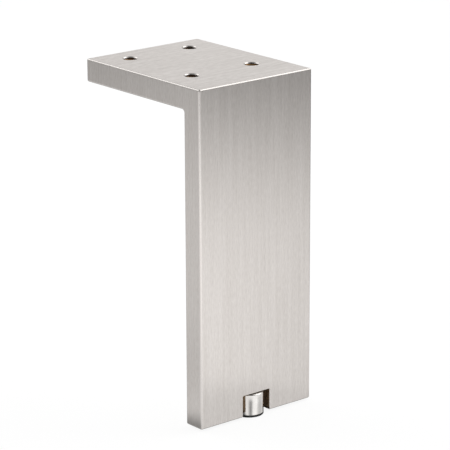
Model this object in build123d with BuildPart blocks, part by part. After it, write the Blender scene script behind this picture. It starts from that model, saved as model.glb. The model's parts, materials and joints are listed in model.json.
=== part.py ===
from build123d import *
from math import radians, tan
import os

# Adjustable furniture leg: an L bracket in one piece, with a levelling foot in a notch at its bottom.
# Millimetres. The origin is the centre of the fixing holes on the plate's top face, +Z points up into
# the furniture, X runs along the leg's width and the leg's outer face looks along -Y.

# Bracket
bracket_width = 60.0
plate_depth = 75.0  # from the leg's outer face to the plate's free end
bracket_height = 145.0  # from the plate's top face to the leg's bottom face
plate_thickness = 10.0
leg_thickness = 10.0
edge_radius = 0.8  # on every outer edge
inner_corner_radius = 1.5  # between the plate's underside and the leg

# Fixing holes, tapped through the plate
hole_spacing_x = 32.0
hole_spacing_y = 41.0
fixing_thread_diameter = 6.0
fixing_chamfer = 0.45

# Notch for the foot, cut through the leg's thickness
notch_height = 9.5
notch_side_gap = 1.15  # from the foot to the notch's side walls
notch_corner_radius = 0.5
notch_edge_radius = 0.4

# Tapped bore above the notch
spindle_thread_diameter = 6.0
bore_chamfer = 0.5
bore_end_gap = 2.0  # from the spindle's tip to the bore's end, screwed in
drill_point_angle = 118.0

# Levelling screw
foot_diameter = 12.4
foot_stand_out = 0.9  # from the leg's bottom face down to the pad's underside, screwed in
head_top_gap = 0.3  # from the head's top to the notch's ceiling, screwed in
head_chamfer = 0.3  # on both rims of the head
foot_travel = 10.0
thread_engagement = 10.0  # spindle left in the bore at full travel
spindle_clearance = 0.05  # radial
spindle_chamfer = 0.7
relief_diameter = 4.6  # groove where the thread runs out above the head
relief_length = 1.4

# Glide pad, snapped into the head
pad_thickness = 0.7
pad_chamfer = 0.15  # round the underside
pad_running_gap = 0.05
stem_diameter = 4.0
stem_length = 4.5
stem_clearance = 0.05  # radial, and at the bead on every side
stem_chamfer = 0.5
bead_height = 1.2
bead_stand_out = 0.3
bead_above_pad = 1.6
socket_end_gap = 0.4

# Places worked out from the sizes above. The fixing holes lie in the middle of the plate's free part.
plate_end_y = (plate_depth - leg_thickness) / 2
leg_front_y = plate_end_y - plate_depth
leg_back_y = leg_front_y + leg_thickness
leg_middle_y = (leg_front_y + leg_back_y) / 2
leg_bottom_z = -bracket_height
notch_top_z = leg_bottom_z + notch_height
notch_width = foot_diameter + 2 * notch_side_gap
pad_bottom_z = leg_bottom_z - foot_stand_out
head_top_z = notch_top_z - head_top_gap
spindle_length = foot_travel + thread_engagement
spindle_radius = spindle_thread_diameter / 2 - spindle_clearance

# The foot's half section is drawn with its radius along x and its height above the pad's underside
# along y, and turned about the foot's own axis.
foot_section = Plane(origin=(0, leg_middle_y, pad_bottom_z), x_dir=(1, 0, 0), z_dir=(0, -1, 0))
foot_axis = Axis((0, leg_middle_y, pad_bottom_z), (0, 0, 1))

# Bracket: the L is one profile across the width.
with BuildPart() as bracket:
    with BuildSketch(Plane.YZ):
        with BuildLine():
            Polyline(
                (leg_front_y, leg_bottom_z),
                (leg_front_y, 0),
                (plate_end_y, 0),
                (plate_end_y, -plate_thickness),
                (leg_back_y, -plate_thickness),
                (leg_back_y, leg_bottom_z),
                close=True,
            )
        make_face()
    extrude(amount=bracket_width / 2, both=True)

    inner_corner = bracket.edges().filter_by(Axis.X).sort_by_distance((0, leg_back_y, -plate_thickness))[0]
    fillet(inner_corner, inner_corner_radius)
    inner_bend = bracket.faces().filter_by(GeomType.CYLINDER)[0]
    bend_ends = inner_bend.edges().filter_by(Axis.X)
    fillet(bracket.edges() - bend_ends, edge_radius)

    # Notch, with its upper corners rounded and its rim eased
    with BuildSketch(Plane.XZ.offset(-leg_front_y)):
        with Locations((0, leg_bottom_z)):
            Rectangle(notch_width, 2 * notch_height)
        fillet(vertices(), notch_corner_radius)
    extrude(amount=-leg_thickness, mode=Mode.SUBTRACT)
    above_bottom = leg_bottom_z + notch_height / 2
    rim = bracket.edges(Select.LAST)
    corner_lines = rim.filter_by(Axis.Y).filter_by_position(Axis.Z, above_bottom, 0)
    fillet(rim - corner_lines, notch_edge_radius)

    # Fixing holes
    with GridLocations(hole_spacing_x, hole_spacing_y, 2, 2):
        Hole(fixing_thread_diameter / 2, plate_thickness)
    chamfer(bracket.edges(Select.LAST).filter_by(GeomType.CIRCLE), fixing_chamfer)

    # Blind bore for the spindle, with the drill's cone at its end
    bore_depth = spindle_length - head_top_gap + bore_end_gap
    bore_radius = spindle_thread_diameter / 2
    drill_point_height = bore_radius / tan(radians(drill_point_angle / 2))
    with BuildSketch(foot_section):
        with BuildLine():
            Polyline(
                (0, notch_top_z - pad_bottom_z),
                (bore_radius + bore_chamfer, notch_top_z - pad_bottom_z),
                (bore_radius, notch_top_z - pad_bottom_z + bore_chamfer),
                (bore_radius, notch_top_z - pad_bottom_z + bore_depth),
                (0, notch_top_z - pad_bottom_z + bore_depth + drill_point_height),
                close=True,
            )
        make_face()
    revolve(axis=foot_axis, mode=Mode.SUBTRACT)
bracket.part.label = "bracket"

# Levelling screw: head and spindle turned from one bar, with a socket below for the pad's stem.
foot_radius = foot_diameter / 2
head_bottom = pad_thickness + pad_running_gap
head_top = head_top_z - pad_bottom_z
spindle_top = head_top + spindle_length
relief_radius = relief_diameter / 2
thread_start = head_top + relief_length + spindle_radius - relief_radius
stem_radius = stem_diameter / 2
bead_radius = stem_radius + bead_stand_out
bead_bottom = pad_thickness + bead_above_pad
bead_top = bead_bottom + bead_height
stem_top = pad_thickness + stem_length
socket_radius = stem_radius + stem_clearance
groove_radius = bead_radius + stem_clearance
socket_top = stem_top + socket_end_gap
with BuildPart() as levelling_screw:
    with BuildSketch(foot_section):
        with BuildLine():
            Polyline(
                (socket_radius, head_bottom),
                (foot_radius, head_bottom),
                (foot_radius, head_top),
                (relief_radius, head_top),
                (relief_radius, head_top + relief_length),
                (spindle_radius, thread_start),
                (spindle_radius, spindle_top - spindle_chamfer),
                (spindle_radius - spindle_chamfer, spindle_top),
                (0, spindle_top),
                (0, socket_top),
                (socket_radius, socket_top),
                (socket_radius, bead_top + stem_clearance),
                (groove_radius, bead_top + stem_clearance),
                (groove_radius, bead_bottom - stem_clearance),
                (socket_radius, bead_bottom - stem_clearance),
                close=True,
            )
        make_face()
    revolve(axis=foot_axis)
    head_rims = levelling_screw.edges().filter_by(GeomType.CIRCLE).group_by(SortBy.RADIUS)[-1]
    chamfer(head_rims, head_chamfer)
levelling_screw.part.label = "levelling_screw"

# Glide pad: a disc with a stem whose bead snaps into the groove in the head's socket.
with BuildPart() as glide_pad:
    with BuildSketch(foot_section):
        with BuildLine():
            Polyline(
                (0, 0),
                (foot_radius, 0),
                (foot_radius, pad_thickness),
                (stem_radius, pad_thickness),
                (stem_radius, bead_bottom),
                (bead_radius, bead_bottom + bead_stand_out),
                (bead_radius, bead_top - bead_stand_out),
                (stem_radius, bead_top),
                (stem_radius, stem_top - stem_chamfer),
                (stem_radius - stem_chamfer, stem_top),
                (0, stem_top),
                close=True,
            )
        make_face()
    revolve(axis=foot_axis)
    pad_rim = glide_pad.edges().filter_by(GeomType.CIRCLE).sort_by(Axis.Z)[0]
    chamfer(pad_rim, pad_chamfer)
glide_pad.part.label = "glide_pad"

os.makedirs("parts", exist_ok=True)
export_step(bracket.part, "parts/bracket.step")
export_step(levelling_screw.part, "parts/levelling_screw.step")
export_step(glide_pad.part, "parts/glide_pad.step")
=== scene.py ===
# %% [markdown]
# An adjustable furniture leg
#
# The leg is an L of thick steel with four tapped holes in its top plate. A polished screw foot sits in a
# notch at its bottom. The solids are already made at their true size, so this lesson adds what a plain
# solid lacks: the brushed finish, the cut threads, the turned foot and the light.
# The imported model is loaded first, because every later place is read from it or set in its frame.

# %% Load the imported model
import json
from math import cos, pi, radians, sin, tan

import bmesh
import bpy
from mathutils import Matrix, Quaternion, Vector

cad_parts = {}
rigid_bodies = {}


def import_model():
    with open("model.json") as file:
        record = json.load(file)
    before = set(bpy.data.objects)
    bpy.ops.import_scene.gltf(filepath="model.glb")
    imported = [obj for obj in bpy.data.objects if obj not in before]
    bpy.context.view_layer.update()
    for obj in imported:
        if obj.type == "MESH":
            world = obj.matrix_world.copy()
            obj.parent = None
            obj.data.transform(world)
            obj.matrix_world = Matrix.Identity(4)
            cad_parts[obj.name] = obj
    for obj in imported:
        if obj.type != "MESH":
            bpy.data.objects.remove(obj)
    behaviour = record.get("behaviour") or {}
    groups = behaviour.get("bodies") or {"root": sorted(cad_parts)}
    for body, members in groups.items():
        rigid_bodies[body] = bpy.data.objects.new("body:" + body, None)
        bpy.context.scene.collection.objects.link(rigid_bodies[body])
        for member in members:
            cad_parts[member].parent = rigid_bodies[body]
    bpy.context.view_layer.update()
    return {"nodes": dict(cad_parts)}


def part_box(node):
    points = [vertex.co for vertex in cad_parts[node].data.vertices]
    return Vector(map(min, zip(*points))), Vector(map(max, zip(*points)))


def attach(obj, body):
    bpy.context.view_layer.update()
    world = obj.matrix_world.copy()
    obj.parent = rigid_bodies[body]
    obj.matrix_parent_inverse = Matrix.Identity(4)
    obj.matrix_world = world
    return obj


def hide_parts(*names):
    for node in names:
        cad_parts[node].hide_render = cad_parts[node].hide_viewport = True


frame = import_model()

print("nodes:", sorted(frame["nodes"]))

# %% [markdown]
# Units and small helpers
#
# Blender works in metres, and a workshop drawing is in millimetres. One factor turns the one into the
# other, so that each size below is written as it would be on the drawing.
# Colours are picked as sRGB hex values, as a paint program shows them, but shaders add up linear light.
# One function makes that change, by the formula of the sRGB standard.
# Places in the studio are given by a bearing, which is 0 in front of the leg and grows to its right, and by
# an angle above the floor. One function turns the two into a direction.

# %% Units, colours and directions
mm = 0.001


def linear(hex_colour):
    """The linear colour of an sRGB hex value, with an alpha of 1."""
    shares = [int(hex_colour[start:start + 2], 16) / 255 for start in (1, 3, 5)]
    return tuple(s / 12.92 if s <= 0.04045 else ((s + 0.055) / 1.055) ** 2.4 for s in shares) + (1.0,)


def direction(bearing, height_angle):
    """The direction, of length 1, of a bearing and an angle above the floor."""
    return Vector((
        sin(bearing) * cos(height_angle),
        -cos(bearing) * cos(height_angle),
        sin(height_angle),
    ))


# %% [markdown]
# Nodes by name
#
# A material and a Geometry Nodes tree are both graphs of nodes. Made by hand, each node is dragged in, set
# and linked. In a script one function does all three, so a line of code reads like a line of the graph:
# what kind of node it is, what feeds its inputs, and how it is set.

# %% Add a node and feed its inputs
def feed(tree, node, inputs):
    """Feeds a node's inputs, given by name or number, from values, sockets or other nodes."""
    shown = [socket for socket in node.inputs if socket.enabled]
    for key, value in inputs.items():
        socket = shown[key] if isinstance(key, int) else next(s for s in shown if s.name == key)
        if isinstance(value, bpy.types.Node):
            value = next(s for s in value.outputs if s.enabled)
        if isinstance(value, bpy.types.NodeSocket):
            tree.links.new(value, socket)
        else:
            socket.default_value = value


def add(tree, kind, inputs=None, **settings):
    """Adds one node with its settings, and feeds its inputs."""
    made = tree.nodes.new(kind)
    for setting, value in settings.items():
        setattr(made, setting, value)
    feed(tree, made, inputs or {})
    return made


def new_material(name):
    """A material with this name, its tree, and the shader in it."""
    material = bpy.data.materials.new(name)
    material.use_nodes = True
    return material, material.node_tree, material.node_tree.nodes["Principled BSDF"]


# %% [markdown]
# The camera
#
# The picture was taken from the leg's left, a little above it, with a long lens: the upright edges
# hardly lean together. A long lens from a metre away gives that, and a short lens close by would not.
# The camera is placed by its bearing, its height angle and its distance from a point inside the leg, and
# it is rolled by less than half a degree, as the slope of the leg's edges showed.

# %% Camera
camera_bearing = radians(-39.68)
camera_height_angle = radians(16.65)
camera_roll = radians(-0.22)
camera_distance = 1059.7 * mm
aim_point = Vector((0.0, -22.1, -66.5)) * mm
# In millimetres, for the camera's own sensor of 36 mm
lens_length = 202.3

towards_camera = direction(camera_bearing, camera_height_angle)
camera = bpy.data.objects.new("camera", bpy.data.cameras.new("camera"))
camera.data.lens = lens_length
camera.location = aim_point + towards_camera * camera_distance
turn = towards_camera.to_track_quat("Z", "Y") @ Quaternion((0, 0, 1), camera_roll)
camera.rotation_euler = turn.to_euler()
bpy.context.scene.collection.objects.link(camera)
bpy.context.scene.camera = camera
print("camera at", [round(value / mm) for value in camera.location], "mm")

# %% [markdown]
# Places as factors
#
# Where a light level or a finish changes from place to place, a factor from 0 to 1 says how much of it is
# there. It is worked out from coordinates: a value is inside an edge or not, with a soft step between, and
# several such factors are multiplied where all of them have to hold.

# %% Factors from coordinates
def inside(tree, value, edge, softness):
    """1 where the value is below the edge, 0 above it, with a soft step between."""
    return add(tree, "ShaderNodeMapRange", {
        "Value": value,
        "From Min": edge - softness,
        "From Max": edge + softness,
        "To Min": 1.0,
        "To Max": 0.0,
    }, interpolation_type="SMOOTHSTEP")


def product(tree, *factors):
    """Several factors multiplied together."""
    result = factors[0]
    for factor in factors[1:]:
        result = add(tree, "ShaderNodeMath", {0: result, 1: factor}, operation="MULTIPLY")
    return result


def from_middle(tree, value, middle):
    """How far a coordinate is from a middle value, on either side."""
    shifted = add(tree, "ShaderNodeMath", {0: value, 1: middle}, operation="SUBTRACT")
    return add(tree, "ShaderNodeMath", {0: shifted}, operation="ABSOLUTE")


def from_axis(tree, x, y):
    """The way out from an upright axis, given as x and y, and its length."""
    way_out = add(tree, "ShaderNodeCombineXYZ", {"X": x, "Y": y})
    return way_out, add(tree, "ShaderNodeVectorMath", {0: way_out}, operation="LENGTH").outputs["Value"]


# %% [markdown]
# The floor
#
# The leg stands on a plain white sweep. The sweep could be lit until it turns white, but the same light
# would then bleach the steel. So part of its brightness is its own, at a level where 1 is white, and
# the rest is lit, which keeps the soft shadow under the leg.
# Steel mirrors the sweep. For rays that come off metal, the sweep's glow is painted light. It is a painted
# pool of light in which each quarter round the foot fades outwards in its own way, with a painted shadow
# right under the leg. The camera finds the sweep plain white.
# Close to the foot the sweep lets mirrored rays through to the lower half of the room. The round foot looks
# all ways at once, so it shows that half as upright bands, and the flat face beside it, which looks one
# way, stays even.
# The foot can be screwed out, and it should still stand on the sweep then, so the sweep rides on the pad.

# %% Floor
pad_low, pad_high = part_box("glide_pad")
foot_middle = (pad_low + pad_high) / 2
floor_height = pad_low.z
# Metres from its middle to each side
floor_half_size = 4.0
floor_own_share = 0.885
floor_lit_share = 0.20
# How much of the light that falls on it the paper gives back to the leg
paper_white = 0.9

# How bright the painted pool of light is in each quarter at these distances from the foot, in metres, where
# 1 is the paper's white. The bearing is that of the quarter's middle.
painted_pool_distances = (0.0, 0.1, 0.2, 0.3, 0.4, 0.5, 0.7, 1.2)
left_quarter = (radians(-90), (0.88, 0.92, 0.95, 0.95, 1.04, 1.14, 0.88, 0.3))
front_quarter = (radians(0), (1.0, 1.15, 1.35, 1.4, 1.4, 0.95, 0.35, 0.1))
right_quarter = (radians(90), (0.9, 0.75, 0.52, 0.45, 0.25, 0.1, 0.1, 0.1))
back_quarter = (radians(180), (0.2, 0.36, 0.58, 0.6, 0.5, 0.3, 0.22, 0.2))

# Within the near radius mirrored rays pass through the sweep, and past the far one they find it
near_radius = 35 * mm
far_radius = 48 * mm

# The painted shadow: a dim strip of the sweep right under the leg, seen by rays off metal
leg_half_width = 30 * mm
leg_half_thickness = 5.0 * mm
painted_shadow_level = 0.12
under_leg_softness = 1.5 * mm


# %% What metal finds on the sweep: painted light and shadow
def level_ramp(tree, value, places, levels):
    """A colour ramp that gives these levels at these places of a value."""
    first, last = places[0], places[-1]
    share = add(tree, "ShaderNodeMapRange", {"Value": value, "From Min": first, "From Max": last})
    ramp = add(tree, "ShaderNodeValToRGB", {"Fac": share})
    stops = ramp.color_ramp.elements
    while len(stops) < len(levels):
        stops.new(0.5)
    for stop, place, level in zip(stops, places, levels):
        stop.position = (place - first) / (last - first)
        stop.color = (level, level, level, 1.0)
    return ramp


def painted_sweep_light(tree):
    """The painted light that metal finds on the sweep, a pool of light with a painted shadow under the leg,
    and how solid the sweep is, by the place on the sweep.
    """
    place = add(tree, "ShaderNodeTexCoord").outputs["Object"]
    from_foot = add(tree, "ShaderNodeVectorMath", {0: place, 1: foot_middle}, operation="SUBTRACT")
    xyz = add(tree, "ShaderNodeSeparateXYZ", {0: from_foot}).outputs
    way_out, distance = from_axis(tree, xyz["X"], xyz["Y"])
    outwards = add(tree, "ShaderNodeVectorMath", {0: way_out}, operation="NORMALIZE")
    # Painted pool of light: in each quarter the glow fades outwards along its ramp
    pool = 0.0
    for middle, levels in (left_quarter, front_quarter, right_quarter, back_quarter):
        # A quarter's share is a squared cosine, so two neighbours' shares always add up to 1
        towards = direction(middle, 0.0)
        facing = add(tree, "ShaderNodeVectorMath", {0: outwards, 1: towards}, operation="DOT_PRODUCT")
        turned_to = add(tree, "ShaderNodeMath", {0: facing.outputs["Value"], 1: 0.0}, operation="MAXIMUM")
        share = add(tree, "ShaderNodeMath", {0: turned_to, 1: turned_to}, operation="MULTIPLY")
        ramp = level_ramp(tree, distance, painted_pool_distances, levels)
        pool = add(tree, "ShaderNodeMath", {0: share, 1: ramp, 2: pool}, operation="MULTIPLY_ADD")
    far = add(tree, "ShaderNodeMapRange", {"Value": distance, "From Min": near_radius,
                                           "From Max": far_radius})
    # Painted shadow: under the leg the glow drops to a low level
    painted_shadow = product(
        tree,
        inside(tree, from_middle(tree, xyz["X"], 0.0), leg_half_width, under_leg_softness),
        inside(tree, from_middle(tree, xyz["Y"], 0.0), leg_half_thickness, under_leg_softness),
    )
    level = add(tree, "ShaderNodeMix", {"Factor": painted_shadow, "A": pool, "B": painted_shadow_level})
    return level, add(tree, "ShaderNodeMath", {0: far, 1: painted_shadow}, operation="MAXIMUM")


# %% White paper sweep
def floor_finish():
    """White paper that glows a little, so that it stays white at a plain light level."""
    paper = bpy.data.materials.new("white_paper_sweep")
    paper.use_nodes = True
    tree = paper.node_tree
    tree.nodes.clear()
    ray = add(tree, "ShaderNodeLightPath")
    mirrored = add(tree, "ShaderNodeMath", {
        0: ray.outputs["Is Glossy Ray"],
        1: ray.outputs["Is Transmission Ray"],
    }, operation="MAXIMUM")
    seen = add(tree, "ShaderNodeMath", {0: ray.outputs["Is Camera Ray"], 1: floor_own_share},
               operation="MULTIPLY")
    own_share = add(tree, "ShaderNodeMath", {0: seen, 1: mirrored}, operation="MAXIMUM")
    unseen = add(tree, "ShaderNodeMix", {
        "Factor": ray.outputs["Is Camera Ray"],
        "A": paper_white,
        "B": floor_lit_share,
    })
    unmirrored = add(tree, "ShaderNodeMath", {0: 1.0, 1: mirrored}, operation="SUBTRACT")
    lit_share = add(tree, "ShaderNodeMath", {0: unseen, 1: unmirrored}, operation="MULTIPLY")
    mirrored_level, solid = painted_sweep_light(tree)
    level = add(tree, "ShaderNodeMix", {"Factor": mirrored, "A": 1.0, "B": mirrored_level})
    own_level = add(tree, "ShaderNodeMath", {0: own_share, 1: level}, operation="MULTIPLY")
    lit_colour = add(tree, "ShaderNodeCombineColor", {0: lit_share, 1: lit_share, 2: lit_share})
    lit = add(tree, "ShaderNodeBsdfDiffuse", {"Color": lit_colour})
    own = add(tree, "ShaderNodeEmission", {"Strength": own_level})
    both = add(tree, "ShaderNodeAddShader", {0: lit, 1: own})
    shown = add(tree, "ShaderNodeMix", {"Factor": mirrored, "A": 1.0, "B": solid})
    clear = add(tree, "ShaderNodeBsdfTransparent")
    surface = add(tree, "ShaderNodeMixShader", {0: shown, 1: clear, 2: both})
    add(tree, "ShaderNodeOutputMaterial", {"Surface": surface})
    return paper


floor_mesh = bpy.data.meshes.new("floor")
floor_points = [
    (x * floor_half_size, y * floor_half_size, floor_height)
    for x, y in ((-1, -1), (1, -1), (1, 1), (-1, 1))
]
floor_mesh.from_pydata(floor_points, [], [(0, 1, 2, 3)])
floor_mesh.materials.append(floor_finish())
floor = bpy.data.objects.new("floor", floor_mesh)
bpy.context.scene.collection.objects.link(floor)
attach(floor, "pad")
print("floor at", round(floor_height / mm, 2), "mm")

# %% [markdown]
# The light
#
# Metal shows its surroundings more than its own colour, so the surroundings are most of the look.
# The room is a pale dome, and the camera finds it plain white. High up on the camera's side, where a
# studio has no lamps, it is dark. Below the horizon only the foot and what is close to it find the room,
# through the sweep, so its levels there are set for the foot: bright bands with dim gaps between them.
# Soft boxes stand in the dome, each at a plain level, so that no edge of the leg burns out. The two large
# ones stand behind the leg on the left and before it on the right, and draw the bright lines on the
# rounded edges and the glints in the holes.

# %% Room
room_level = 0.585
dark_bearing = camera_bearing
dark_height_angle = radians(64)
dark_inner_angle = radians(22)
dark_outer_angle = radians(42)
dark_level = 0.12

# The lower half of the room, which only the foot and what is close to it mirror: the level by the
# bearing, in degrees
low_room_levels = (
    (-180, 0.35),
    (-135, 0.35),
    (-100, 0.12),
    (-75, 0.8),
    (-60, 1.0),
    (-48, 0.92),
    (-34, 0.4),
    (-23, 0.3),
    (-5, 1.05),
    (21, 1.15),
    (43, 0.66),
    (64, 0.62),
    (92, 0.8),
    (110, 0.1),
    (140, 0.35),
    (180, 0.35),
)
# How steeply down a direction points where the lower half has fully taken over
low_room_start = -0.1


def room_light():
    """A pale dome for light and reflections, and plain white for the camera."""
    world = bpy.data.worlds.new("room")
    world.use_nodes = True
    tree = world.node_tree
    tree.nodes.clear()
    ray = add(tree, "ShaderNodeLightPath")
    place = add(tree, "ShaderNodeTexCoord")
    nearness = add(tree, "ShaderNodeVectorMath", {
        0: place.outputs["Generated"],
        1: direction(dark_bearing, dark_height_angle),
    }, operation="DOT_PRODUCT")
    level = add(tree, "ShaderNodeMapRange", {
        "Value": nearness.outputs["Value"],
        "From Min": cos(dark_outer_angle),
        "From Max": cos(dark_inner_angle),
        "To Min": room_level,
        "To Max": dark_level,
    }, interpolation_type="SMOOTHSTEP")
    xyz = add(tree, "ShaderNodeSeparateXYZ", {0: place.outputs["Generated"]}).outputs
    ahead = add(tree, "ShaderNodeMath", {0: xyz["Y"], 1: -1.0}, operation="MULTIPLY")
    bearing = add(tree, "ShaderNodeMath", {0: xyz["X"], 1: ahead}, operation="ARCTAN2")
    degrees_round = add(tree, "ShaderNodeMath", {0: bearing}, operation="DEGREES")
    low_level = level_ramp(tree, degrees_round, *zip(*low_room_levels))
    low = add(tree, "ShaderNodeMapRange", {"Value": xyz["Z"], "From Min": 0.0, "From Max": low_room_start})
    level = add(tree, "ShaderNodeMix", {"Factor": low, "A": level, "B": low_level})
    strength = add(tree, "ShaderNodeMix", {"Factor": ray.outputs["Is Camera Ray"], "A": level, "B": 1.0})
    glow = add(tree, "ShaderNodeBackground", {"Color": (1.0, 1.0, 1.0, 1.0), "Strength": strength})
    add(tree, "ShaderNodeOutputWorld", {"Surface": glow})
    return world


bpy.context.scene.world = room_light()
bpy.context.scene.view_settings.view_transform = "Standard"
print("room level:", room_level)

# %% Soft boxes
soft_box_distance = 0.9
# Name, bearing and height angle in degrees, width and height in metres, and level
soft_boxes = (
    ("right_box", 70, 44, 0.7, 0.6, 1.3),
    ("left_box", -157, 40, 0.5, 0.45, 1.05),
    ("back_box", 152, 22, 0.6, 0.5, 0.3),
)


def soft_box(name, bearing, height_angle, width, height, level):
    """A rectangular lamp that looks at the leg. Its level is what a mirror would show of it."""
    lamp = bpy.data.lights.new(name, "AREA")
    lamp.shape = "RECTANGLE"
    lamp.size = width
    lamp.size_y = height
    lamp.energy = level * pi * width * height
    away = direction(bearing, height_angle)
    box = bpy.data.objects.new(name, lamp)
    box.location = aim_point + away * soft_box_distance
    box.rotation_euler = away.to_track_quat("Z", "Y").to_euler()
    box.visible_camera = False
    bpy.context.scene.collection.objects.link(box)


for box_name, box_bearing, box_angle, box_width, box_height, box_level in soft_boxes:
    soft_box(box_name, radians(box_bearing), radians(box_angle), box_width, box_height, box_level)
print("soft boxes:", len(soft_boxes))

# %% [markdown]
# Brushed stainless steel
#
# The L is flat stainless bar, and its outer faces were drawn past an abrasive belt. The belt leaves
# hairlines a few hundredths of a millimetre wide. They run upright on the leg and on the plate's edges,
# and across the plate on its top. Light spreads across the hairlines and stays sharper along them, which
# is why the leg shows a slow change of tone from top to bottom but none from side to side.
# An image of brushed metal would need an unwrapped mesh and would blur close up. Noise that is stretched
# along the brushing needs only the object's own coordinates, so it fits every face.
# The hairlines are drawn about ten times wider than real ones, because those would be too fine to see. They
# are drawn half as wide again on the plate's top, which the camera sees at a flat angle.
# The belt rubs the rounded edges a little smoother than the faces, so they draw thin bright lines. It
# reached neither the notch nor the holes, where the finish is bare cut steel. Its brown-grey is darker than
# the brushed faces, as painted shade in those recesses.

# %% Sizes that the finish follows
leg_middle_y = foot_middle.y
notch_half_width = 7.35 * mm
notch_top_z = -135.5 * mm
notch_edge_radius = 0.4 * mm
plate_thickness = 10.0 * mm
hole_half_spacing_x = 16.0 * mm
hole_half_spacing_y = 20.5 * mm
hole_radius = 3.0 * mm
hole_chamfer = 0.45 * mm

# How far past its true size each cut place is found, and how soft its limit is
notch_margin = 0.2 * mm
hole_margin = 0.1 * mm
bore_margin = 0.6 * mm
notch_softness = 0.1 * mm
hole_softness = 0.05 * mm
# The bore is only looked for below this height
bore_highest_z = -2 * plate_thickness

# %% Colours and roughness of the brushed bar
brush_colour_dark = "#d4cec9"
brush_colour_light = "#ebe6e2"
edge_colour = "#e0dbd7"
# Bare cut steel, darker and browner than the brushed faces as painted shade in the notch, holes and bore
cut_and_shade_colour = "#8c7861"
brush_roughness = 0.36
brush_roughness_swing = 0.04
edge_roughness = 0.26
cut_roughness = 0.34
# How much less sharp a reflection is across the hairlines than along them
brush_anisotropy = 0.75
# The shader spreads light along its tangent, so the tangent is turned to lie across the lines
quarter_of_a_turn = 0.25

hairline_width = 0.5 * mm
hairline_length = 2.6 * mm
hairline_depth = 0.012 * mm
# Longer strokes under the hairlines, where the belt pressed more or less
stroke_width = 1.2 * mm
stroke_length = 35.0 * mm
stroke_share = 0.4
noise_detail = 2.0
noise_roughness = 0.6
top_coarseness = 1.5
# How strongly the grain swings between the two colours, on upright faces and on the top
upright_contrast = 2.5
top_contrast = 3.75

# A normal whose upward part is between these limits is turning from an upright face to a level one
upright_limit = 0.6
level_limit = 0.8
# A normal whose widest part is between these limits is on the rounding between two flat faces
rounding_limit = 0.93
flat_limit = 0.998


# %% Where the finish changes and the painted shade goes
def cut_and_shaded_places(tree, xyz):
    """1 inside the notch, the fixing holes and the spindle's bore, which the belt didn't reach and where
    the painted shade goes.
    """
    x, y, z = (xyz[axis] for axis in "XYZ")
    side = from_middle(tree, x, 0.0)
    depth = from_middle(tree, y, leg_middle_y)
    within_leg = inside(tree, depth, leg_half_thickness - notch_edge_radius, notch_softness)
    notch = product(
        tree,
        inside(tree, side, notch_half_width + notch_margin, notch_softness),
        within_leg,
        inside(tree, z, notch_top_z + notch_margin, notch_softness),
    )
    hole_x = from_middle(tree, side, hole_half_spacing_x)
    hole_y = from_middle(tree, from_middle(tree, y, 0.0), hole_half_spacing_y)
    wall_half_height = plate_thickness / 2 - hole_chamfer
    holes = product(
        tree,
        inside(tree, from_axis(tree, hole_x, hole_y)[1], hole_radius + hole_margin, hole_softness),
        inside(tree, from_middle(tree, z, -plate_thickness / 2), wall_half_height, hole_softness),
    )
    bore = product(
        tree,
        inside(tree, from_axis(tree, side, depth)[1], hole_radius + bore_margin, hole_softness),
        within_leg,
        inside(tree, z, bore_highest_z, notch_softness),
    )
    either = add(tree, "ShaderNodeMath", {0: notch, 1: holes}, operation="MAXIMUM")
    return add(tree, "ShaderNodeMath", {0: either, 1: bore}, operation="MAXIMUM")


def normal_parts(tree, normal):
    """How much of a normal lies along each axis, whichever way along it."""
    absolute = add(tree, "ShaderNodeVectorMath", {0: normal}, operation="ABSOLUTE")
    return add(tree, "ShaderNodeSeparateXYZ", {0: absolute}).outputs


def level_faces(tree, parts):
    """1 on faces that look up or down, 0 on upright ones."""
    return add(tree, "ShaderNodeMapRange", {
        "Value": parts["Z"],
        "From Min": upright_limit,
        "From Max": level_limit,
    }, interpolation_type="SMOOTHSTEP")


def rounded_edges(tree, parts):
    """1 on the rounded edges between two flat faces, 0 on the flat faces."""
    widest = add(tree, "ShaderNodeMath", {0: parts["X"], 1: parts["Y"]}, operation="MAXIMUM")
    widest = add(tree, "ShaderNodeMath", {0: widest, 1: parts["Z"]}, operation="MAXIMUM")
    return add(tree, "ShaderNodeMapRange", {
        "Value": widest,
        "From Min": rounding_limit,
        "From Max": flat_limit,
        "To Min": 1.0,
        "To Max": 0.0,
    }, interpolation_type="SMOOTHSTEP")


# %% Hairlines
def brushed_noise(tree, place, level_face, width, length):
    """Noise stretched along Z on upright faces and along X on level ones. The sizes are in metres."""
    upright = add(tree, "ShaderNodeVectorMath", {0: place, 1: (1 / width, 1 / width, 1 / length)},
                  operation="MULTIPLY")
    width, length = top_coarseness * width, top_coarseness * length
    across = add(tree, "ShaderNodeVectorMath", {0: place, 1: (1 / length, 1 / width, 1 / width)},
                 operation="MULTIPLY")
    brushed = add(tree, "ShaderNodeMix", {"Factor": level_face, "A": upright, "B": across},
                  data_type="VECTOR")
    return add(tree, "ShaderNodeTexNoise", {
        "Vector": brushed,
        "Scale": 1.0,
        "Detail": noise_detail,
        "Roughness": noise_roughness,
    })


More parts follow.
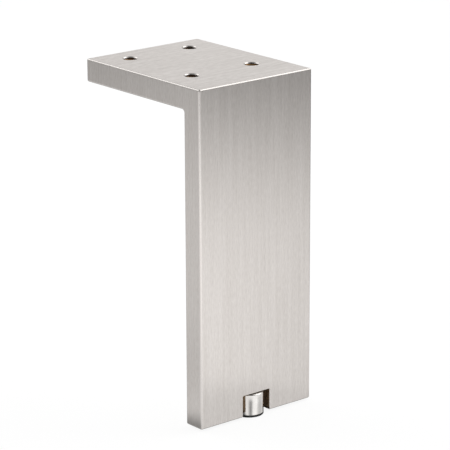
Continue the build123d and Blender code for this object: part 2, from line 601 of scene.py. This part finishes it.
# %% Brushed stainless steel
def brushed_steel():
    """Flat stainless bar with a belt-brushed finish, and bare cut steel, darkened as painted shade, in its
    notch and holes.
    """
    steel, tree, shader = new_material("brushed_stainless_steel")
    coordinates = add(tree, "ShaderNodeTexCoord")
    place = coordinates.outputs["Object"]
    parts = normal_parts(tree, coordinates.outputs["Normal"])
    level_face = level_faces(tree, parts)
    edge = rounded_edges(tree, parts)
    cut = cut_and_shaded_places(tree, add(tree, "ShaderNodeSeparateXYZ", {0: place}).outputs)

    hairlines = brushed_noise(tree, place, level_face, hairline_width, hairline_length)
    strokes = brushed_noise(tree, place, level_face, stroke_width, stroke_length)
    grain = add(tree, "ShaderNodeMix", {"Factor": stroke_share, "A": hairlines, "B": strokes})
    contrast = add(tree, "ShaderNodeMix", {
        "Factor": level_face,
        "A": upright_contrast,
        "B": top_contrast,
    })
    uneven = add(tree, "ShaderNodeMath", {0: grain, 1: 0.5}, operation="SUBTRACT")
    tone = add(tree, "ShaderNodeMath", {0: uneven, 1: contrast, 2: 0.5}, operation="MULTIPLY_ADD",
               use_clamp=True)
    brushed = add(tree, "ShaderNodeMix", {
        "Factor": tone,
        "A": linear(brush_colour_dark),
        "B": linear(brush_colour_light),
    }, data_type="RGBA")
    eased = add(tree, "ShaderNodeMix", {"Factor": edge, "A": brushed, "B": linear(edge_colour)},
                data_type="RGBA")
    # Painted shade: the notch, the holes and the bore take the dark cut colour
    colour = add(tree, "ShaderNodeMix", {"Factor": cut, "A": eased, "B": linear(cut_and_shade_colour)},
                 data_type="RGBA")
    rough = add(tree, "ShaderNodeMapRange", {
        "Value": grain,
        "From Min": 0.3,
        "From Max": 0.7,
        "To Min": brush_roughness - brush_roughness_swing,
        "To Max": brush_roughness + brush_roughness_swing,
    })
    rough = add(tree, "ShaderNodeMix", {"Factor": edge, "A": rough, "B": edge_roughness})
    rough = add(tree, "ShaderNodeMix", {"Factor": cut, "A": rough, "B": cut_roughness})
    relief = add(tree, "ShaderNodeBump", {
        "Height": hairlines,
        "Distance": hairline_depth,
        "Strength": 1.0,
    })
    along = add(tree, "ShaderNodeMix", {"Factor": level_face, "A": (0, 0, 1), "B": (1, 0, 0)},
                data_type="VECTOR")
    along = add(tree, "ShaderNodeVectorTransform", {0: along}, vector_type="VECTOR",
                convert_from="OBJECT", convert_to="WORLD")
    feed(tree, shader, {
        "Base Color": colour,
        "Roughness": rough,
        "Normal": relief,
        "Tangent": along,
        "Metallic": 1.0,
        "Anisotropic": brush_anisotropy,
        "Anisotropic Rotation": quarter_of_a_turn,
    })
    return steel


bracket = frame["nodes"]["bracket"]
bracket.data.materials[0] = brushed_steel()
print("brushed faces:", len(bracket.data.polygons))

# %% [markdown]
# The cut threads
#
# The four fixing holes and the bore for the foot are tapped M6: a ridge with a 60 degree profile climbs
# each wall, one millimetre for each turn. The solids keep plain walls at the thread's outer size.
# A thread could be cut with a boolean, which is slow and leaves long thin faces. It is simpler to sweep
# the ridge's profile, a trapezoid, up a spiral. Geometry Nodes can do this once for every thread here,
# because a nut's ridge points inwards and a screw's points outwards, and only the sizes differ.
# The ridge's height fades to nothing at both ends, as a tap's or a die's first teeth leave it, and a cone
# at each end trims it, so that it stays inside the hole's chamfer or the spindle's tip.
# Blender's spiral climbs as a left-hand thread does. Reversed, it is right-hand, as a common screw is.

# %% Sizes of the thread tree
thread_pitch = 1.0 * mm
flank_slope = tan(radians(30))
# Where the ridge has faded to nothing, its profile's points are this close, and become one
merge_distance = 0.0002 * mm
start_angle_seed = 6
# The tree's inputs: name, kind and default value
thread_sockets = (
    ("Pitch", "NodeSocketFloat", thread_pitch),
    ("Wall Radius", "NodeSocketFloat", 3.0 * mm),
    ("Crest Radius", "NodeSocketFloat", 2.5 * mm),
    ("Crest Width", "NodeSocketFloat", 0.25 * mm),
    ("Sunk Depth", "NodeSocketFloat", 0.02 * mm),
    ("Lower End", "NodeSocketFloat", -9.5 * mm),
    ("Upper End", "NodeSocketFloat", -0.5 * mm),
    ("End Radius", "NodeSocketFloat", 3.0 * mm),
    ("Fade Turns", "NodeSocketFloat", 0.3),
    ("Points a Turn", "NodeSocketInt", 48),
    ("Spacing X", "NodeSocketFloat", 0.0),
    ("Spacing Y", "NodeSocketFloat", 0.0),
    ("Columns", "NodeSocketInt", 1),
    ("Rows", "NodeSocketInt", 1),
    ("Centre", "NodeSocketVector", (0.0, 0.0, 0.0)),
    ("Start Angle", "NodeSocketFloat", 0.0),
    ("Start Angle Spread", "NodeSocketFloat", 0.0),
    ("Material", "NodeSocketMaterial", None),
)


# %% The thread tree
def thread_tree():
    """A ridge swept up a spiral, trimmed by its end cones, and set on each point of a small grid."""
    tree = bpy.data.node_groups.new("cut_thread", "GeometryNodeTree")
    for name, kind, value in thread_sockets:
        socket = tree.interface.new_socket(name, in_out="INPUT", socket_type=kind)
        if value is not None:
            socket.default_value = value
    tree.interface.new_socket("Geometry", in_out="OUTPUT", socket_type="NodeSocketGeometry")
    given = add(tree, "NodeGroupInput").outputs

    # The ridge's sizes. The sign of the tooth says whether it points outwards, 1, or inwards, -1.
    height = add(tree, "ShaderNodeMath", {0: given["Upper End"], 1: given["Lower End"]},
                 operation="SUBTRACT")
    tooth = add(tree, "ShaderNodeMath", {0: given["Crest Radius"], 1: given["Wall Radius"]},
                operation="SUBTRACT")
    outwards = add(tree, "ShaderNodeMath", {0: tooth}, operation="SIGN")
    depth = add(tree, "ShaderNodeMath", {0: tooth}, operation="ABSOLUTE")
    profile_height = add(tree, "ShaderNodeMath", {0: depth, 1: given["Sunk Depth"]}, operation="ADD")
    base_width = add(tree, "ShaderNodeMath", {
        0: profile_height,
        1: 2 * flank_slope,
        2: given["Crest Width"],
    }, operation="MULTIPLY_ADD")

    # The line that it follows, sunk a little into the wall so that no gap shows at its foot
    climb = add(tree, "ShaderNodeMath", {0: height, 1: base_width}, operation="SUBTRACT")
    turns = add(tree, "ShaderNodeMath", {0: climb, 1: given["Pitch"]}, operation="DIVIDE")
    sunk = add(tree, "ShaderNodeMath", {0: outwards, 1: given["Sunk Depth"]}, operation="MULTIPLY")
    line_radius = add(tree, "ShaderNodeMath", {0: given["Wall Radius"], 1: sunk}, operation="SUBTRACT")
    spiral = add(tree, "GeometryNodeCurveSpiral", {
        "Resolution": given["Points a Turn"],
        "Rotations": turns,
        "Start Radius": line_radius,
        "End Radius": line_radius,
        "Height": climb,
        "Reverse": True,
    })
    upright = add(tree, "GeometryNodeSetCurveNormal", {"Curve": spiral}, mode="Z_UP")

    # Its profile stands on the line, and a quarter turn points it out of the wall on the right side
    half_height = add(tree, "ShaderNodeMath", {0: profile_height, 1: 0.5}, operation="MULTIPLY")
    lift = add(tree, "ShaderNodeCombineXYZ", {"Y": half_height})
    trapezoid = add(tree, "GeometryNodeCurvePrimitiveQuadrilateral", {
        "Height": profile_height,
        "Bottom Width": base_width,
        "Top Width": given["Crest Width"],
        "Offset": 0.0,
    }, mode="TRAPEZOID")
    lifted = add(tree, "GeometryNodeTransform", {"Geometry": trapezoid, "Translation": lift})
    quarter_turn = add(tree, "ShaderNodeMath", {0: outwards, 1: -pi / 2}, operation="MULTIPLY")
    turn_about_z = add(tree, "ShaderNodeCombineXYZ", {"Z": quarter_turn})
    profile = add(tree, "GeometryNodeTransform", {"Geometry": lifted, "Rotation": turn_about_z})

    # The sweep, faded at both ends
    along = add(tree, "GeometryNodeSplineParameter").outputs["Factor"]
    from_start = add(tree, "ShaderNodeMath", {0: along, 1: turns}, operation="MULTIPLY")
    from_end = add(tree, "ShaderNodeMath", {0: turns, 1: from_start}, operation="SUBTRACT")
    nearest = add(tree, "ShaderNodeMath", {0: from_start, 1: from_end}, operation="MINIMUM")
    fade = add(tree, "ShaderNodeMapRange", {"Value": nearest, "From Max": given["Fade Turns"]},
               interpolation_type="SMOOTHSTEP")
    ridge = add(tree, "GeometryNodeCurveToMesh", {"Curve": upright, "Profile Curve": profile,
                                                  "Scale": fade})
    closed = add(tree, "GeometryNodeMergeByDistance", {"Geometry": ridge, "Distance": merge_distance})
    half_base = add(tree, "ShaderNodeMath", {0: base_width, 1: 0.5, 2: given["Lower End"]},
                    operation="MULTIPLY_ADD")
    start = add(tree, "ShaderNodeCombineXYZ", {"Z": half_base})
    raised = add(tree, "GeometryNodeTransform", {"Geometry": closed, "Translation": start})

    # The end cones: no point stands further out of the wall than its height above the end allows
    position = add(tree, "GeometryNodeInputPosition")
    xyz = add(tree, "ShaderNodeSeparateXYZ", {0: position}).outputs
    way_out, radius = from_axis(tree, xyz["X"], xyz["Y"])
    below = add(tree, "ShaderNodeMath", {0: given["Upper End"], 1: xyz["Z"]}, operation="SUBTRACT")
    above = add(tree, "ShaderNodeMath", {0: xyz["Z"], 1: given["Lower End"]}, operation="SUBTRACT")
    from_cone = add(tree, "ShaderNodeMath", {0: below, 1: above}, operation="MINIMUM")
    end_radius = add(tree, "ShaderNodeMath", {0: given["End Radius"], 1: outwards}, operation="MULTIPLY")
    limit = add(tree, "ShaderNodeMath", {0: end_radius, 1: from_cone}, operation="ADD")
    signed = add(tree, "ShaderNodeMath", {0: radius, 1: outwards}, operation="MULTIPLY")
    trimmed = add(tree, "ShaderNodeMath", {0: signed, 1: limit}, operation="MINIMUM")
    new_radius = add(tree, "ShaderNodeMath", {0: trimmed, 1: outwards}, operation="MULTIPLY")
    unit = add(tree, "ShaderNodeVectorMath", {0: way_out}, operation="NORMALIZE")
    scaled = add(tree, "ShaderNodeVectorMath", {"Vector": unit, "Scale": new_radius}, operation="SCALE")
    height_part = add(tree, "ShaderNodeCombineXYZ", {"Z": xyz["Z"]})
    moved = add(tree, "ShaderNodeVectorMath", {0: scaled, 1: height_part}, operation="ADD")
    trimmed_ridge = add(tree, "GeometryNodeSetPosition", {"Geometry": raised, "Position": moved})

    # One copy on each point of the grid, each turned to its own start angle
    places = add(tree, "GeometryNodeMeshGrid", {
        "Size X": given["Spacing X"],
        "Size Y": given["Spacing Y"],
        "Vertices X": given["Columns"],
        "Vertices Y": given["Rows"],
    })
    most = add(tree, "ShaderNodeMath", {0: given["Start Angle"], 1: given["Start Angle Spread"]},
               operation="ADD")
    angle = add(tree, "FunctionNodeRandomValue", {
        "Min": given["Start Angle"],
        "Max": most,
        "Seed": start_angle_seed,
    }, data_type="FLOAT")
    spin = add(tree, "ShaderNodeCombineXYZ", {"Z": angle})
    copies = add(tree, "GeometryNodeInstanceOnPoints", {
        "Points": places,
        "Instance": trimmed_ridge,
        "Rotation": spin,
    })
    centred = add(tree, "GeometryNodeTransform", {"Geometry": copies, "Translation": given["Centre"]})
    real = add(tree, "GeometryNodeRealizeInstances", {"Geometry": centred})
    finished = add(tree, "GeometryNodeSetMaterial", {"Geometry": real, "Material": given["Material"]})
    add(tree, "NodeGroupOutput", {"Geometry": finished})
    return tree


cut_thread = thread_tree()
print("thread tree nodes:", len(cut_thread.nodes))

# %% [markdown]
# From a tree to a plain mesh
#
# A modifier runs the tree on an empty object, and its inputs are set by each socket's identifier, since
# names need not be unique. The evaluated result is copied to a plain mesh, and the modifier is dropped,
# so what is kept is geometry and nothing live.

# %% Make a thread
# Two faces that meet at more than this angle keep a sharp edge between them
sharp_angle = radians(25)


def make_thread(name, **sizes):
    """Runs the thread tree with these sizes and returns the ridge as a plain mesh."""
    piece = bpy.data.objects.new(name, bpy.data.meshes.new(name))
    bpy.context.scene.collection.objects.link(piece)
    modifier = piece.modifiers.new("cut_thread", "NODES")
    modifier.node_group = cut_thread
    for socket in cut_thread.interface.items_tree:
        key = socket.name.lower().replace(" ", "_")
        if socket.in_out == "INPUT" and key in sizes:
            modifier[socket.identifier] = sizes[key]
    evaluated = piece.evaluated_get(bpy.context.evaluated_depsgraph_get())
    piece.data = bpy.data.meshes.new_from_object(evaluated)
    piece.data.name = name
    piece.modifiers.remove(modifier)
    piece.data.shade_smooth()
    piece.data.set_sharp_from_angle(angle=sharp_angle)
    print(name, "has", len(piece.data.polygons), "faces")
    return piece


# %% [markdown]
# Bare cut steel
#
# A tap leaves torn steel in a hole, with fine marks that follow the thread. Its colour is darker and
# browner than the brushed faces, the dark being painted shade of the holes, and less even, with small
# glints. The marks are noise on the object's own coordinates. They are flat and wide, because a thread
# climbs so little in a turn that its marks lie almost level all round every hole.

# %% Tapped steel
tap_mark_width = 0.08 * mm
tap_mark_length = 1.2 * mm
tap_mark_depth = 0.01 * mm
# Painted shade: the threads' colours are darker and browner than the brushed bar
tapped_and_shaded_colour_dark = "#8a6946"
tapped_and_shaded_colour_light = "#b89266"


def cut_steel():
    """Bare steel as a tap leaves it: a little torn along the thread, and brown and dark as painted shade of
    the holes.
    """
    steel, tree, shader = new_material("tapped_stainless_steel")
    place = add(tree, "ShaderNodeTexCoord").outputs["Object"]
    marks = add(tree, "ShaderNodeVectorMath", {
        0: place,
        1: (1 / tap_mark_length, 1 / tap_mark_length, 1 / tap_mark_width),
    }, operation="MULTIPLY")
    torn = add(tree, "ShaderNodeTexNoise", {"Vector": marks, "Scale": 1.0, "Detail": 3.0})
    tone = add(tree, "ShaderNodeMapRange", {"Value": torn, "From Min": 0.35, "From Max": 0.65})
    colour = add(tree, "ShaderNodeMix", {
        "Factor": tone,
        "A": linear(tapped_and_shaded_colour_dark),
        "B": linear(tapped_and_shaded_colour_light),
    }, data_type="RGBA")
    rough = add(tree, "ShaderNodeMapRange", {"Value": torn, "To Min": 0.22, "To Max": 0.42})
    relief = add(tree, "ShaderNodeBump", {"Height": torn, "Distance": tap_mark_depth, "Strength": 1.0})
    feed(tree, shader, {"Base Color": colour, "Roughness": rough, "Normal": relief, "Metallic": 1.0})
    return steel


tapped_steel = cut_steel()

# %% Threads in the fixing holes
nut_crest_radius = 2.459 * mm
nut_crest_width = thread_pitch / 4
nut_sunk_depth = 0.02 * mm

fixing_threads = make_thread(
    "fixing_threads",
    wall_radius=hole_radius,
    crest_radius=nut_crest_radius,
    crest_width=nut_crest_width,
    sunk_depth=nut_sunk_depth,
    lower_end=-plate_thickness + hole_chamfer,
    upper_end=-hole_chamfer,
    end_radius=hole_radius,
    spacing_x=2 * hole_half_spacing_x,
    spacing_y=2 * hole_half_spacing_y,
    columns=2,
    rows=2,
    start_angle_spread=2 * pi,
    material=tapped_steel,
)
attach(fixing_threads, "bracket")

# %% Thread in the foot's bore
bore_chamfer = 0.5 * mm
bore_thread_top = -114.3 * mm
bore_thread_bottom = notch_top_z + bore_chamfer
foot_axis = Vector((0.0, leg_middle_y, 0.0))

bore_thread = make_thread(
    "bore_thread",
    wall_radius=hole_radius,
    crest_radius=nut_crest_radius,
    crest_width=nut_crest_width,
    sunk_depth=nut_sunk_depth,
    lower_end=bore_thread_bottom,
    upper_end=bore_thread_top,
    end_radius=hole_radius,
    centre=foot_axis,
    material=tapped_steel,
)
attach(bore_thread, "bracket")

# %% [markdown]
# The turned foot
#
# The levelling screw is one bar turned on a lathe: a plain head that stands on its pad, a groove where
# the thread runs out, and the spindle. The head is polished bright, and faint rings stay round it from
# the tool. A lathe shape is a half section spun round its axis, so its mesh is made the same way, from
# the same sizes as the solid, and a narrow bevel rounds each sharp corner so that it catches the light.

# %% Half section of the screw
screw_low, screw_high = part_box("levelling_screw")
head_radius = 6.2 * mm
head_bottom_z = screw_low.z
spindle_top_z = screw_high.z
head_top_gap = 0.3 * mm
head_top_z = notch_top_z - head_top_gap
head_chamfer = 0.3 * mm
relief_radius = 2.3 * mm
relief_length = 1.4 * mm
relief_top_z = head_top_z + relief_length
# How many times further the groove's side runs up than out
relief_taper = 2.5
# The spindle's body between the ridges of its thread
core_radius = 2.34 * mm
spindle_radius = 2.95 * mm
spindle_tip_radius = 2.25 * mm

# The socket that the pad's stem snaps into, and the groove that holds the stem's bead
socket_radius = 2.05 * mm
groove_radius = 2.35 * mm
pad_thickness = 0.7 * mm
pad_top_z = floor_height + pad_thickness
groove_bottom_z = pad_top_z + 1.55 * mm
groove_top_z = pad_top_z + 2.85 * mm
socket_top_z = pad_top_z + 4.9 * mm

half_section = (
    (0.0, spindle_top_z),
    (spindle_tip_radius, spindle_top_z),
    (core_radius, spindle_top_z - (core_radius - spindle_tip_radius)),
    (core_radius, relief_top_z + relief_taper * (core_radius - relief_radius)),
    (relief_radius, relief_top_z),
    (relief_radius, head_top_z),
    (head_radius - head_chamfer, head_top_z),
    (head_radius, head_top_z - head_chamfer),
    (head_radius, head_bottom_z + head_chamfer),
    (head_radius - head_chamfer, head_bottom_z),
    (socket_radius, head_bottom_z),
    (socket_radius, groove_bottom_z),
    (groove_radius, groove_bottom_z),
    (groove_radius, groove_top_z),
    (socket_radius, groove_top_z),
    (socket_radius, socket_top_z),
    (0.0, socket_top_z),
)

# %% Spin it
lathe_steps = 128


def lathe(name, section, axis, steps):
    """Spins a half section, given from the top axis point to the bottom one, into a closed mesh."""
    points = []
    rings = []
    for radius, height in section:
        if radius == 0.0:
            rings.append([len(points)] * steps)
            points.append((axis.x, axis.y, height))
        else:
            rings.append([len(points) + step for step in range(steps)])
            for step in range(steps):
                angle = 2 * pi * step / steps
                points.append((axis.x + radius * cos(angle), axis.y + radius * sin(angle), height))
    faces = []
    for upper, lower in zip(rings, rings[1:]):
        for step in range(steps):
            after = (step + 1) % steps
            corners = (upper[step], lower[step], lower[after], upper[after])
            faces.append(tuple(dict.fromkeys(corners)))
    mesh = bpy.data.meshes.new(name)
    mesh.from_pydata(points, [], faces)
    mesh.update()
    return mesh


turned_body = lathe("turned_levelling_screw", half_section, foot_axis, lathe_steps)
screw = bpy.data.objects.new("turned_levelling_screw", turned_body)
bpy.context.scene.collection.objects.link(screw)
print("turned body:", len(turned_body.polygons), "faces")

# %% Round its corners
screw_edge_round = 0.05 * mm
corner_angle = radians(30)
rounding = screw.modifiers.new("rounding", "BEVEL")
rounding.width = screw_edge_round
rounding.segments = 2
rounding.limit_method = "ANGLE"
rounding.angle_limit = corner_angle
rounded = bpy.data.meshes.new_from_object(screw.evaluated_get(bpy.context.evaluated_depsgraph_get()))
screw.modifiers.remove(rounding)
screw.data = rounded
print("rounded body:", len(screw.data.polygons), "faces")

# %% [markdown]
# Polished turned steel
#
# The head is polished over its turning marks. Rings run round it, so light spreads a little up and down
# and stays sharp from side to side: the reflections stand on the head as upright bands. The direction of
# the rings comes from the object's own coordinates, as the cross product of the axis with the way out
# from it, so it turns with the screw.

# %% Turned steel
turning_feed = 0.12 * mm
turning_mark_depth = 0.002 * mm
# Handling leaves the polish a little uneven, in patches about 2.9 mm across
handling_patches_a_metre = 350.0
turned_colour_dark = "#e2deda"
turned_colour_light = "#f0eeea"
turned_anisotropy = 0.6


def turned_steel(axis):
    """Stainless bar, turned and polished bright, with faint rings round the axis."""
    steel, tree, shader = new_material("polished_turned_stainless_steel")
    coordinates = add(tree, "ShaderNodeTexCoord")
    place = add(tree, "ShaderNodeVectorMath", {0: coordinates.outputs["Object"], 1: tuple(axis)},
                operation="SUBTRACT")
    level_face = level_faces(tree, normal_parts(tree, coordinates.outputs["Normal"]))
    xyz = add(tree, "ShaderNodeSeparateXYZ", {0: place}).outputs
    way_out, radius = from_axis(tree, xyz["X"], xyz["Y"])
    across_rings = add(tree, "ShaderNodeMix", {"Factor": level_face, "A": xyz["Z"], "B": radius})
    ring_count = add(tree, "ShaderNodeMath", {0: across_rings, 1: 1 / turning_feed}, operation="MULTIPLY")
    rings = add(tree, "ShaderNodeTexNoise", {"W": ring_count, "Scale": 1.0, "Detail": 2.0},
                noise_dimensions="1D")
    handling = add(tree, "ShaderNodeTexNoise", {
        "Vector": place,
        "Scale": handling_patches_a_metre,
        "Detail": 3.0,
    })
    tone = add(tree, "ShaderNodeMapRange", {"Value": handling, "From Min": 0.3, "From Max": 0.7})
    colour = add(tree, "ShaderNodeMix", {
        "Factor": tone,
        "A": linear(turned_colour_dark),
        "B": linear(turned_colour_light),
    }, data_type="RGBA")
    rough = add(tree, "ShaderNodeMapRange", {"Value": handling, "To Min": 0.12, "To Max": 0.22})
    relief = add(tree, "ShaderNodeBump", {"Height": rings, "Distance": turning_mark_depth, "Strength": 1.0})
    round_axis = add(tree, "ShaderNodeVectorMath", {0: (0, 0, 1), 1: way_out}, operation="CROSS_PRODUCT")
    round_axis = add(tree, "ShaderNodeVectorTransform", {0: round_axis}, vector_type="VECTOR",
                     convert_from="OBJECT", convert_to="WORLD")
    feed(tree, shader, {
        "Base Color": colour,
        "Roughness": rough,
        "Normal": relief,
        "Tangent": round_axis,
        "Metallic": 1.0,
        "Anisotropic": turned_anisotropy,
        "Anisotropic Rotation": quarter_of_a_turn,
    })
    return steel


screw_steel = turned_steel(foot_axis)

# %% Thread on the spindle
screw_crest_width = thread_pitch / 8
screw_sunk_depth = 0.03 * mm


def first_turn(lower_end, wall, crest, crest_width, sunk_depth):
    """The height of a ridge's middle line where it starts, at the angle that it starts from."""
    base_width = crest_width + 2 * flank_slope * (abs(crest - wall) + sunk_depth)
    return lower_end + base_width / 2


nut_start = first_turn(bore_thread_bottom, hole_radius, nut_crest_radius, nut_crest_width, nut_sunk_depth)
screw_start = first_turn(relief_top_z, core_radius, spindle_radius, screw_crest_width, screw_sunk_depth)
# Half a pitch past the nut's ridge is the middle of its groove, where the screw's ridge has to run
turns_ahead = ((screw_start - nut_start) / thread_pitch - 0.5) % 1
print("the screw's ridge is turned by", round(turns_ahead, 3), "of a turn, to run in the nut's groove")

spindle_thread = make_thread(
    "spindle_thread",
    wall_radius=core_radius,
    crest_radius=spindle_radius,
    crest_width=screw_crest_width,
    sunk_depth=screw_sunk_depth,
    lower_end=relief_top_z,
    upper_end=spindle_top_z,
    end_radius=spindle_tip_radius,
    start_angle=2 * pi * turns_ahead,
    centre=foot_axis,
    material=screw_steel,
)

# %% Join the screw
whole = bmesh.new()
whole.from_mesh(screw.data)
whole.from_mesh(spindle_thread.data)
whole.to_mesh(screw.data)
whole.free()
bpy.data.objects.remove(spindle_thread)
screw.data.materials.clear()
screw.data.materials.append(screw_steel)
screw.data.shade_smooth()
screw.data.set_sharp_from_angle(angle=sharp_angle)
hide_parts("levelling_screw")
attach(screw, "screw")
print("screw:", len(screw.data.polygons), "faces")

# %% [markdown]
# The glide pad
#
# The pad is injection moulded nylon, black right through, with the fine spark-eroded grain of its mould.
# The grain breaks its soft shine into a matt one. The solid's shape is right, so only its material is
# new. Nylon isn't a metal: its shine is the colour of the light, from an index of refraction of 1.53.

# %% Moulded nylon
mould_grain = 0.25 * mm
mould_grain_depth = 0.02 * mm
# The melt cools in faint clouds about 4.5 mm across
flow_clouds_a_metre = 220.0
nylon_colour_dark = "#191817"
nylon_colour_light = "#232120"
nylon_ior = 1.53


def moulded_nylon():
    """Black nylon with a fine mould grain and a soft shine."""
    nylon, tree, shader = new_material("black_moulded_nylon")
    place = add(tree, "ShaderNodeTexCoord").outputs["Object"]
    grain = add(tree, "ShaderNodeTexNoise", {"Vector": place, "Scale": 1 / mould_grain, "Detail": 2.0})
    flow = add(tree, "ShaderNodeTexNoise", {"Vector": place, "Scale": flow_clouds_a_metre, "Detail": 1.0})
    colour = add(tree, "ShaderNodeMix", {
        "Factor": flow,
        "A": linear(nylon_colour_dark),
        "B": linear(nylon_colour_light),
    }, data_type="RGBA")
    rough = add(tree, "ShaderNodeMapRange", {"Value": grain, "To Min": 0.42, "To Max": 0.66})
    relief = add(tree, "ShaderNodeBump", {"Height": grain, "Distance": mould_grain_depth, "Strength": 1.0})
    feed(tree, shader, {"Base Color": colour, "Roughness": rough, "Normal": relief, "IOR": nylon_ior})
    return nylon


pad = frame["nodes"]["glide_pad"]
pad.data.materials[0] = moulded_nylon()
print("pad faces:", len(pad.data.polygons))
